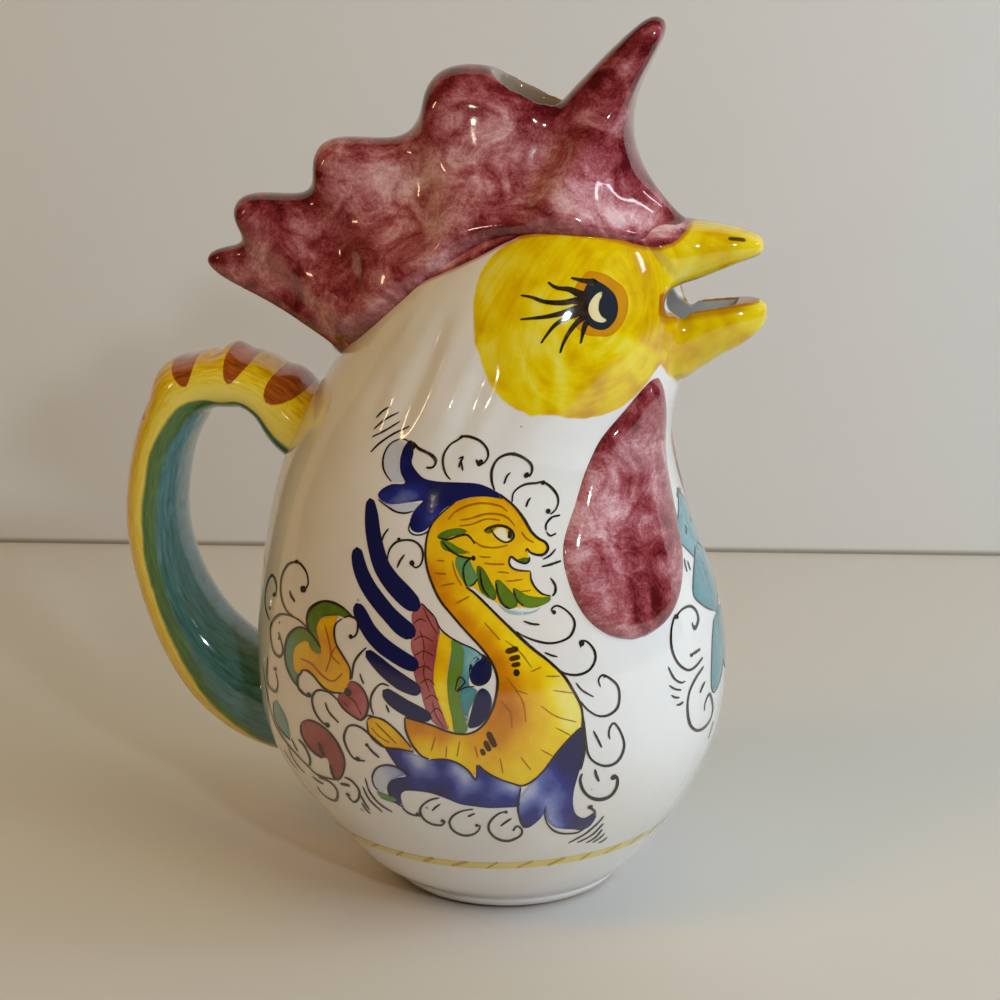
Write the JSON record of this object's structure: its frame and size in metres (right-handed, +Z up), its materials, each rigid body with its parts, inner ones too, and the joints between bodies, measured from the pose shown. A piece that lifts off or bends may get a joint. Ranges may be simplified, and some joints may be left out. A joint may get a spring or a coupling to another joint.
{
  "type": "jug",
  "caption": "Glazed ceramic jug in the shape of a hen's head on a full belly, filled through a hollow comb, poured through an open beak and carried by a loop handle.",
  "frame": {"origin": "centre of the foot ring on the surface that the jug stands on", "axes": "+Z up, +X toward the beak, +Y toward the jug's own left side"},
  "size_m": [0.1768, 0.129, 0.2388],
  "materials": {
    "white_glaze": "gloss",
    "foot_clay": "satin",
    "comb_glaze": "gloss",
    "beak_glaze": "gloss",
    "wattle_glaze": "gloss",
    "handle_glaze": "gloss"
  },
  "bodies": {
    "root": {"body_shell": "white_glaze", "foot_ring": "foot_clay", "comb_shell": "comb_glaze", "upper_beak": "beak_glaze", "lower_beak": "beak_glaze", "wattle_right": "wattle_glaze", "wattle_left": "wattle_glaze", "handle": "handle_glaze"}
  },
  "joints": []
}
